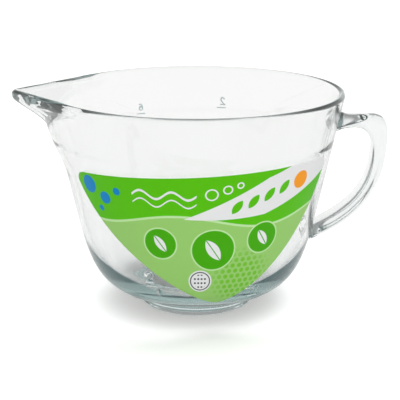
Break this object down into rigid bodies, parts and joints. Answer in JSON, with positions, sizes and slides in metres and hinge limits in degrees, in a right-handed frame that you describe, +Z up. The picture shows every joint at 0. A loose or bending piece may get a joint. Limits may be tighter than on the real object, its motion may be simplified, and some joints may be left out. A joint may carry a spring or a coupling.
{
  "type": "batter bowl",
  "caption": "Deep clear glass mixing bowl with a pour spout, a strap handle, a foot ring and a printed film label on its front.",
  "frame": {"origin": "middle of the foot ring's underside, on the surface that the bowl stands on and on the axis of the round body", "axes": "+Z up along the bowl's axis, +X towards the handle, -X towards the spout, -Y towards the label"},
  "size_m": [0.2592, 0.203, 0.151],
  "materials": {
    "glass": "clear pressed soda-lime glass with a faint blue-green cast where it is thick, fire-polished rim",
    "label_film": "thin printed film, green with white, blue and orange print, slight sheen"
  },
  "bodies": {
    "root": {"bowl": "glass", "spout": "glass", "handle": "glass", "label": "label_film"}
  },
  "joints": []
}
